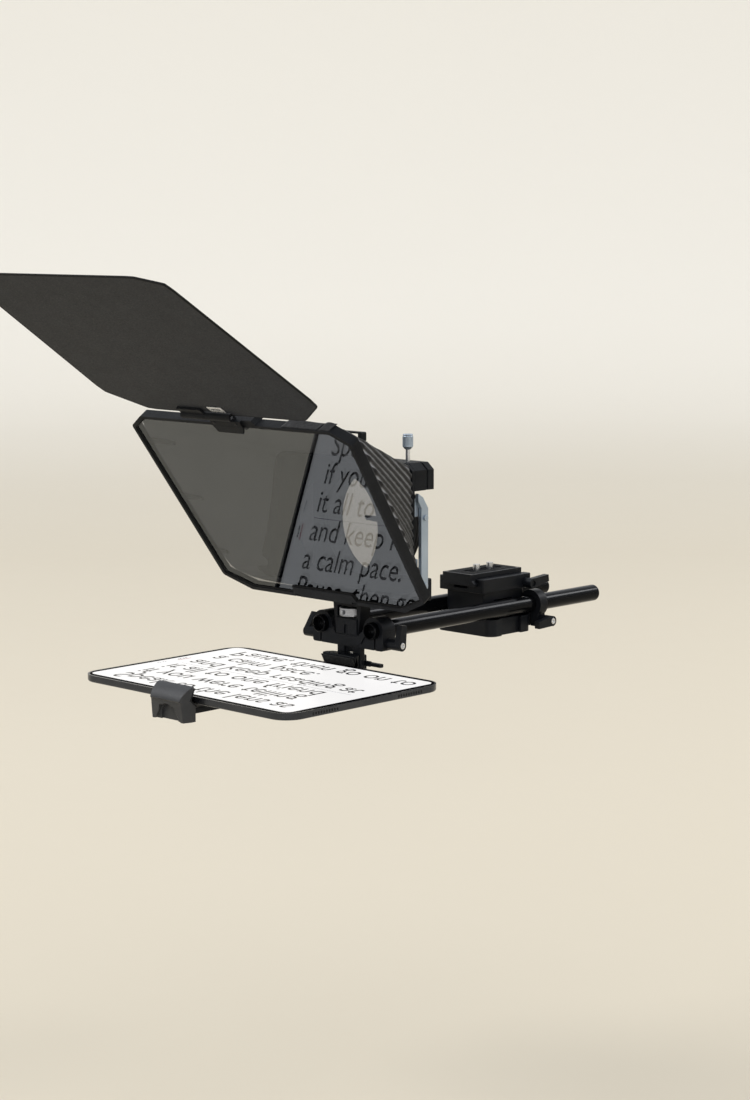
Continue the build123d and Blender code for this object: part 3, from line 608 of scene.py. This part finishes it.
def hood_loops(inset, spacing, rim_w=-FRAME_DEPTH - 0.3):
    """Rims of the sleeve: at the back of the glass frame and on the collar, in rod-frame points."""
    front = mirrored((90 - inset, 1 + inset), (119 - inset, 12.5 + inset), (128.3 - inset, 174.8 - inset),
                     (111 - inset, 185.8 - inset))
    rear = mirrored((50 - inset, 27.6 + inset), (59.5 - inset, 35 + inset), (59.5 - inset, 135 - inset),
                    (52.5 - inset, 141 - inset))
    front, rear = resampled(rounded(front, 3, 0.16), rounded(rear, 3, 0.16), spacing)
    return ([Vector(GLASS.rod(x, s, rim_w)) for x, s in front],
            [Vector((x, COLLAR_FRONT - 0.3, z)) for x, z in rear])


def pleat(point):
    """How far below its ridge the cloth lies here, from 0 on a ridge to 1 in a valley."""
    phase = (point.z + PLEAT_TILT * point.y - PLEAT_PHASE) / PLEAT_PITCH
    away = abs(phase - floor(phase + 0.5))
    return smoothstep(0.10, 0.40, away)


def hood_sleeve(name, inset, spacing, rows, depth, material, rim_w=-FRAME_DEPTH - 0.3):
    """Sleeve from the collar (row 0) to the glass frame, with its pleats along the two sides."""
    front, rear = hood_loops(inset, spacing, rim_w)
    count = len(front)
    base = [[rear[j].lerp(front[j], i / rows) for j in range(count)] for i in range(rows + 1)]
    points, pleat_highlight_and_shade, weights = [], [], []
    for i in range(rows + 1):
        v = i / rows
        fade = smoothstep(0.0, 0.03, v) * (1 - smoothstep(0.955, 0.985, v))
        for j in range(count):
            point = base[i][j]
            around = base[i][(j + 1) % count] - base[i][j - 1]
            along = base[min(i + 1, rows)][j] - base[max(i - 1, 0)][j]
            normal = along.cross(around).normalized()
            side = smoothstep(0.35, 0.75, abs(normal.x))
            fold = pleat(point)
            points.append(at(*(point - normal * fold * fade * depth * (0.3 + 0.7 * side))))
            # Painted light for the cloth: a highlight on the pleat ridges of the sides and shade in their valleys.
            pleat_highlight_and_shade.append(BARE_TONE + fade * (ROOF_TONE + (1 - BARE_TONE - ROOF_TONE - fold) * side))
            lag = FLOOR_LAG + (ROOF_LAG - FLOOR_LAG) * smoothstep(LAG_LOW, LAG_HIGH, base[i][j].z)
            weights.append(v ** lag)
    faces = []
    for i in range(rows):
        for j in range(count):
            k = (j + 1) % count
            faces.append((i * count + j, (i + 1) * count + j, (i + 1) * count + k, i * count + k))
    obj = new_piece(name, points, faces, material)
    store(obj, "ridge", "FLOAT", "value", pleat_highlight_and_shade)
    store(obj, "rest", "FLOAT_VECTOR", "vector", [value for p in points for value in p])
    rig.blend(obj, "front_clamp", "hood_frame", start=at(0, COLLAR_FRONT, LENS_Z), end=GLASS.at(0, 90, -9))
    obj.data.attributes["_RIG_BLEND"].data.foreach_set("value", weights)
    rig.slot(obj, "pleated_cloth")
    return obj


def store(obj, name, kind, field, values):
    obj.data.attributes.new(name, kind, "POINT").data.foreach_set(field, values)


def inner_baffle():
    """Dark board inside the sleeve, just ahead of the lens, with a turned-up rim."""
    front, rear = hood_loops(4.2, 6.0)
    loops = []
    for plane in (BAFFLE_Y, BAFFLE_Y - BAFFLE_RIM):
        loops.append([a.lerp(b, (a.y - plane) / (a.y - b.y)) for a, b in zip(front, rear)])
    back, lip = loops
    centre = Vector((0, BAFFLE_Y, LENS_Z))
    inner_lip = [p + (Vector((0, p.y, LENS_Z)) - p).normalized() * 1.2 for p in lip]
    inner_back = [p + (centre - p).normalized() * 1.2 for p in back]
    hole = []
    for p in back:
        angle = atan2(p.z - LENS_Z, p.x)
        hole.append(centre + Vector((cos(angle), 0, sin(angle))) * BAFFLE_HOLE)
    shape = Shape()
    shape.grid(4, len(back), lambda i, j: at(*(back, lip, inner_lip, inner_back, hole)[i][j]), wrap=True)
    board = shape.piece("hood_inner_baffle", LOOKS["hood_plastic"], smooth=False)
    attach(board, "front_clamp", "hood_plastic")


def build_hood():
    outer = hood_sleeve("pleated_hood", 0.2, PLEAT_SAMPLES, HOOD_STEPS, PLEAT_DEPTH, LOOKS["pleated_cloth"])
    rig.replaces(outer, "bellows")
    hood_sleeve("hood_lining", LINING_INSET, 3.0, 40, 0.0, LINING, LINING_RIM_W)
    inner_baffle()


# ---------------------------------------------------------------- tablet display

SCRIPT_ROWS = ("Pause, then go on to", "a calm pace.", "and keep reading at", "it all to one friend",
               "if you were telling", "Speak to the lens as")
ROW_FIRST, ROW_PITCH = -31.0, -26.1
ROW_LEFT = -97.5
LETTER_SIZE = 29.0
LETTER_WIDTH = 0.86                         # letters drawn narrower than the font's own
STROKE = 0.012                              # extra weight of each letter's outline
DISPLAY_HALF = 117.8
DISPLAY_REAR, DISPLAY_FRONT = -13.6, -180.2
DISPLAY_Z = TABLET_TOP + 0.06
MARK_Z = DISPLAY_Z + 0.12


def display():
    """Lit area of the screen, with round corners."""
    radius = 7.0
    outline = []
    for x, y, start in ((DISPLAY_HALF - radius, DISPLAY_REAR - radius, 0),
                        (-DISPLAY_HALF + radius, DISPLAY_REAR - radius, 90),
                        (-DISPLAY_HALF + radius, DISPLAY_FRONT + radius, 180),
                        (DISPLAY_HALF - radius, DISPLAY_FRONT + radius, 270)):
        for step in range(9):
            angle = radians(start + step * 90 / 8)
            outline.append((x + radius * cos(angle), y + radius * sin(angle)))
    points = [at(x, y, DISPLAY_Z) for x, y in outline]
    attach(new_piece("tablet_display", points, [tuple(range(len(points)))], PAPER_WHITE, False),
           "tablet", "tablet_screen")


def script_text():
    """Lines of script, flipped front to back so that the glass turns them the right way round."""
    shape = Shape()
    for row, words in enumerate(SCRIPT_ROWS):
        curve = bpy.data.curves.new("row", "FONT")
        curve.body = words
        curve.size = LETTER_SIZE
        curve.offset = STROKE
        curve.resolution_u = 4
        holder = bpy.data.objects.new("row", curve)
        SCENE.collection.objects.link(holder)
        bpy.context.view_layer.update()
        mesh = bpy.data.meshes.new_from_object(holder.evaluated_get(bpy.context.evaluated_depsgraph_get()))
        middle = ROW_FIRST + ROW_PITCH * row
        base = middle + LETTER_SIZE * 0.24
        shape.add([at(ROW_LEFT + v.co.x * LETTER_WIDTH, base - v.co.y, MARK_Z) for v in mesh.vertices],
                  [tuple(reversed(p.vertices)) for p in mesh.polygons])
        bpy.data.objects.remove(holder)
    attach(shape.piece("tablet_script", INK, False), "tablet", "tablet_screen")


def screen_bar(name, material, *bars):
    """Flat marks on the screen, each (x0, x1, y0, y1)."""
    shape = Shape()
    for x0, x1, y0, y1 in bars:
        shape.add([at(x0, y0, MARK_Z), at(x1, y0, MARK_Z), at(x1, y1, MARK_Z), at(x0, y1, MARK_Z)],
                  [(0, 1, 2, 3)])
    attach(shape.piece(name, material, False), "tablet", "tablet_screen")


def build_display():
    display()
    script_text()
    screen_bar("screen_cursor", MARK_RED, (-109.0, -108.0, -90, -75.5))
    ticks = [(-112.8, -110.8, y, y + 1.7) for y in (-88, -85.6, -82, -79.4)]
    dashes = [(-112.4, -110.8, y, y + 1.5) for y in (-111, -108.6, -105, -102.6)]
    screen_bar("screen_ticks", INK, *ticks)
    screen_bar("screen_marks", MARK_GREY, (-97, 104, -96.9, -96.4), *dashes)


# ---------------------------------------------------------------- knurls, threads and pads

def hood_wheel():
    """Diamond-knurled thumbwheel with a tommy hole, and the screw above it."""
    low, high, y, radius = 9.2, 16.9, 10.5, 10.6
    tommy = radians(-90)

    def knurl(r, a, h):
        if r < radius - 0.5:
            return r
        band = min(smoothstep(low + 0.8, low + 1.4, h), 1 - smoothstep(high - 1.4, high - 0.8, h))
        ridge = max(abs(sin(34 * a + 2.6 * h)), abs(sin(34 * a - 2.6 * h)))
        away = hypot((a - tommy - 2 * pi * round((a - tommy) / (2 * pi))) * r, h - (low + high) / 2)
        hole = 6.0 * (1 - smoothstep(1.75, 2.05, away))
        return r - 0.42 * ridge ** 2 * band - hole

    rim = [(radius - 0.7, low), (radius, low + 0.7),
           *((radius, h) for h in steps(low + 0.8, high - 0.8, 34)),
           (radius, high - 0.7), (radius - 0.7, high)]
    profile = [(0.4, low), (5, low), *rim, (5.5, high), (3.15, high + 0.2), (3.15, 24.0), (0.4, 24.2)]
    wheel = turned("thumbwheel", profile, upright(0, y), LOOKS["knurled_steel"], 408, knurl)
    attach(wheel, "hood_wheel", "knurled_steel", "hood_wheel")


def thumbscrew_knob():
    """Finely fluted knob with a stepped crown."""
    low, high, radius = 151.6, 164.6, 4.5

    def flute(r, a, h):
        band = min(smoothstep(low + 2.6, low + 3.2, h), 1 - smoothstep(high - 2.6, high - 2.1, h))
        return r - 0.16 * (0.5 + 0.5 * cos(36 * a)) * band if r > radius - 0.3 else r

    profile = [(0.3, low), (2.1, low), (2.6, low + 0.2), (4.3, low + 2.2), (radius, low + 2.6),
               *((radius, h) for h in steps(low + 2.7, high - 2.2, 12)), (radius, high - 1.9),
               (3.95, high - 1.7), (3.95, high - 1.2), (4.35, high - 1.0), (4.3, high - 0.5),
               (3.8, high - 0.05), (3.0, high), (0.3, high)]
    knob = turned("fluted_knob", profile, upright(42, 34.5), LOOKS["grey_anodised"], 216, flute)
    attach(knob, "thumbscrew", "grey_anodised", "thumbscrew_knob")


def threaded(name, radius, pitch, low, high, place, material, body, slot, inner=False):
    """Screw thread on a round piece, one helix along its axis."""
    depth = 0.55 * pitch
    around = 64
    rings = [(radius, h) for h in steps(low, high, round((high - low) / pitch * 8))]
    cap = [] if inner else [(radius - 1.0, high + 0.01), (0.3, high + 0.02)]
    base = [] if inner else [(0.3, low - 0.01)]
    profile = base + rings + cap

    def point(i, j):
        r, h = profile[i]
        a = 2 * pi * j / around
        turn = h / pitch - a / (2 * pi)
        tooth = abs(turn - floor(turn) - 0.5) * 2
        ends = min(smoothstep(low, low + pitch, h), 1 - smoothstep(high - pitch, high, h))
        return place(r - tooth * depth * ends if r == radius else r, a, h)

    shape = Shape()
    shape.grid(len(profile) - 1, around, point, wrap=True)
    attach(shape.piece(name, material), body, slot)


def threads():
    for name, y in (("front", 169), ("rear", 187)):
        threaded(f"camera_thread_{name}", 3.17, 1.27, 32.2, 36.7, upright(0, y), LOOKS["steel"],
                 f"camera_screw_{name}", "steel")
    for name, x in (("left", -30), ("right", 30)):
        threaded(f"rod_bore_thread_{name}", 5.08, 1.75, 6.2, 22, lengthwise(x, 0), LOOKS["rod_anodised"],
                 "rods", "rod_anodised", inner=True)


def ribbed_pad(name, y_vertex, reach, half, body, node):
    """Rubber V pad with fine ribs along it."""
    direction = 1 if reach > 0 else -1
    vertex = Vector((0, y_vertex, -32.9))
    ends = (Vector((0, y_vertex + reach * 0.7, -23.5)),
            Vector((0, y_vertex + reach, -32.9 - abs(reach) * 0.88)))
    outline = []
    for end, order in ((ends[0], 1), (ends[1], -1)):
        arm = vertex - end
        normal = Vector((0, -arm.z, arm.y)).normalized()
        if normal.y * direction < 0:
            normal = -normal
        teeth = []
        for k in range(8):
            for share, height in ((0.0, 0.0), (0.28, 0.55), (0.62, 0.55), (0.9, 0.0)):
                teeth.append(end + arm * ((k + share) / 8) + normal * (height - 0.25))
        outline += teeth if order == 1 else list(reversed(teeth))
    back = [p - Vector((0, direction * 1.9, 0)) for p in (ends[1], vertex, ends[0])]
    outline += back
    shape = Shape()
    shape.prism([at(-half, p.y, p.z) for p in outline], [at(half, p.y, p.z) for p in outline])
    pad = bevelled(shape.piece(name, LOOKS["rubber"], True), 0.12, 1, 25)
    attach(pad, body, "rubber", node)


def speaker_hole_shade():
    """Black discs flush in the tablet's two short edges, painted shade for the dark speaker openings."""
    first, pitch, around = 34.5, 2.9, 20
    shape = Shape()
    middle = 0.5 * (TABLET_REAR + TABLET_FRONT)
    for side in (-1, 1):
        for row in (-1, 1):
            for step in range(10):
                y, z = middle + row * (first + pitch * step), TABLET_TOP - 2.95
                angles = [2 * pi * k / around for k in range(around)]
                ring = [(y + 0.95 * cos(a), z + 1.25 * sin(a)) for a in angles]
                shape.prism([at(side * 123.3, a, b) for a, b in ring],
                            [at(side * 123.83, a, b) for a, b in ring])
    attach(shape.piece("tablet_hole_shade", BLACK_EDGING_AND_SHADE, False), "tablet", "tablet_metal")


def plate_ribs():
    """Anti-slip ribs across the camera plate's pad."""
    shape = Shape()
    top, first, pitch, count = 31.75, 148.2, 2.2, 27
    for k in range(count):
        y = first + pitch * k
        beside_slot = 154.2 < y < 201.8
        spans = ((-13.4, -6.6), (6.6, 13.4)) if beside_slot else ((-13.4, 13.4),)
        for x0, x1 in spans:
            low = [at(x0, y, top), at(x1, y, top), at(x1, y + 1.3, top), at(x0, y + 1.3, top)]
            high = [at(x0 + 0.3, y + 0.3, top + 0.4), at(x1 - 0.3, y + 0.3, top + 0.4),
                    at(x1 - 0.3, y + 1.0, top + 0.4), at(x0 + 0.3, y + 1.0, top + 0.4)]
            shape.prism(low, high)
    attach(shape.piece("camera_pad_ribs", LOOKS["rubber"], False), "camera_plate", "rubber")


def gasket_pleats():
    """Round folds of the rubber sleeve that meets the lens."""
    front, rear, pitch, around = 30.4, 46.4, 3.2, 128
    profile = [(46.6 + 1.3 * abs(sin(pi * (y - front) / pitch)), y) for y in steps(front, rear, 80)]
    place = lengthwise(0, LENS_Z)

    def point(i, j):
        r, y = profile[i]
        return place(r, 2 * pi * j / around, y)

    shape = Shape()
    shape.grid(len(profile) - 1, around, point, wrap=True)
    attach(shape.piece("gasket_pleats", LOOKS["rubber"]), "front_clamp", "rubber")


def build_small_details():
    hood_wheel()
    thumbscrew_knob()
    threads()
    ribbed_pad("rear_pad_ribs", -4.0, -6.8, 18.0, "tablet_holder", "rear_jaw_pad")
    ribbed_pad("front_pad_ribs", TABLET_FRONT - 3.6, 6.0, 20.0, "front_jaw", "front_jaw_pad")
    speaker_hole_shade()
    plate_ribs()
    gasket_pleats()


# ---------------------------------------------------------------- edge trims and flaps

def trim(name, path, radius, material, body, slot):
    shape = Shape()
    shape.tube(path, radius * MM, 8, closed=True)
    attach(shape.piece(name, material), body, slot)


def build_trims():
    """Black edging round the flag, and a black strip round the glass as painted shade for the gap between glass and
    frame.
    """
    flag = rounded(mirrored((91, 0), (125.3, 25), (115.8, 193.8), (87.5, 202.9)), 3, 0.05)
    trim("flag_edging", [FLAG.at(x, s, -0.8) for x, s in flag], 1.0, BLACK_EDGING_AND_SHADE, "flag", "flag_plastic")
    window = mirrored((36, 8.2), (37.5, 1.6), (87.4, 1.6), (115.2, 13.4), (124.8, 172.8), (109.0, 183.0))
    # Painted shade: a black strip along the window's edge for the shadow gap between glass and frame.
    trim("glass_shadow_gap_strip", [GLASS.at(x, s, -1.5) for x, s in rounded(window, 2, 0.04)], 0.7, BLACK_EDGING_AND_SHADE,
         "hood_frame", "rubber")


def cloth_tab(name, x0, x1, s, lift, lean):
    """Loose tab of hood cloth folded over the top rim of the frame."""
    shape = Shape()
    columns, rows = 24, 10

    def point(i, j):
        u, v = j / columns, i / rows
        x = x0 + (x1 - x0) * u + lean * v
        wave = 0.5 * sin(5 * u) * v
        return GLASS.at(x, s + lift * sin(pi * 0.5 * v) + wave, -1.0 - 8.5 * v)

    shape.grid(rows, columns, point)
    tab = shape.piece(name, LOOKS["pleated_cloth"])
    store(tab, "ridge", "FLOAT", "value", [0.42] * len(tab.data.vertices))
    store(tab, "rest", "FLOAT_VECTOR", "vector", [c for v in tab.data.vertices for c in v.co])
    thick = tab.modifiers.new("thickness", "SOLIDIFY")
    thick.thickness = 0.5 * MM
    attach(tab, "hood_frame", "pleated_cloth")


def build_flaps():
    cloth_tab("cloth_tab_inner", 57, 97, 186.4, 0.7, 3)
    cloth_tab("cloth_tab_outer", 99, 110, 186.4, 1.2, 3)


# ---------------------------------------------------------------- studio and camera

FLOOR_Z = -0.34


def bowl():
    """Floor that turns up into a round wall, far outside every view."""
    flat, bend, rings, around = 6.5, 3.5, 16, 96
    profile = [(0.02, 0.0), (1.0, 0.0), (2.0, 0.0), (3.0, 0.0), (4.5, 0.0), (flat, 0.0)]
    profile += [(flat + bend * sin(0.5 * pi * k / rings), bend * (1 - cos(0.5 * pi * k / rings)))
                for k in range(1, rings + 1)]

    def point(i, j):
        r, h = profile[i]
        a = 2 * pi * j / around
        return (r * cos(a), r * sin(a), FLOOR_Z + h)

    shape = Shape()
    shape.grid(len(profile) - 1, around, point, wrap=True)
    shape.faces.append(tuple(reversed(range(around))))
    look = Surface("floor", Specular_IOR_Level=0.1)
    ground = shape.piece("floor", look.material)
    # Painted shade and light: the floor is coloured darker near the object and paler as it rises into the wall.
    floor_shade_wall_light_values = [smoothstep(2.5, 9.0, r + 2.0 * h) for r, h in profile for _ in range(around)]
    store(ground, "floor_shade_wall_light", "FLOAT", "value", floor_shade_wall_light_values)
    floor_shade_wall_light = look.node("ShaderNodeAttribute", attribute_name="floor_shade_wall_light").outputs["Fac"]
    tone = look.math("ADD", floor_shade_wall_light, look.spread(look.noise(0.6, 2), 0.3, 0.7, -0.02, 0.02))
    look.colour(tone, (0.0, (0.620, 0.562, 0.455)), (1.0, (0.90, 0.86, 0.775)))
    look.roughness(look.spread(look.noise(20, 3), 0.3, 0.7, 0.8, 0.9))
    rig.stage(ground)


def studio():
    bowl()
    world = bpy.data.worlds.new("studio")
    world.use_nodes = True
    sky = world.node_tree.nodes["Background"]
    sky.inputs["Color"].default_value = (0.93, 0.955, 1.0, 1)
    sky.inputs["Strength"].default_value = 1.04
    SCENE.world = world
    target = at(0, -40, 60)
    lamps = (("key", (-2.6, -2.2, 3.4), 1.6, 60), ("front", (2.3, -2.6, 1.0), 0.7, 16),
             ("rim", (1.6, 3.4, 2.8), 1.2, 50))
    for name, place, size, watts in lamps:
        lamp = bpy.data.lights.new(name, "AREA")
        lamp.size = size
        lamp.energy = watts
        holder = bpy.data.objects.new(name, lamp)
        holder.location = place
        holder.rotation_euler = (Vector(target) - Vector(place)).to_track_quat("-Z", "Y").to_euler()
        SCENE.collection.objects.link(holder)
    SCENE.view_settings.view_transform = "Standard"


def camera():
    lens = bpy.data.cameras.new("camera")
    lens.lens = 78.31
    lens.sensor_width = 36.0
    holder = bpy.data.objects.new("camera", lens)
    holder.location = at(1405.24, -1417.17, 339.51)
    holder.rotation_euler = (radians(82.2), 0, radians(43.99))
    SCENE.collection.objects.link(holder)
    SCENE.camera = holder


dress_nodes()
build_hood()
build_display()
build_small_details()
build_trims()
build_flaps()
studio()
camera()

new_low, new_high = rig.bounds()
with open("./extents.json", "w") as size_file:
    bounds = {"cad": [list(cad_low), list(cad_high)], "visual": [list(new_low), list(new_high)]}
    json.dump(bounds, size_file)
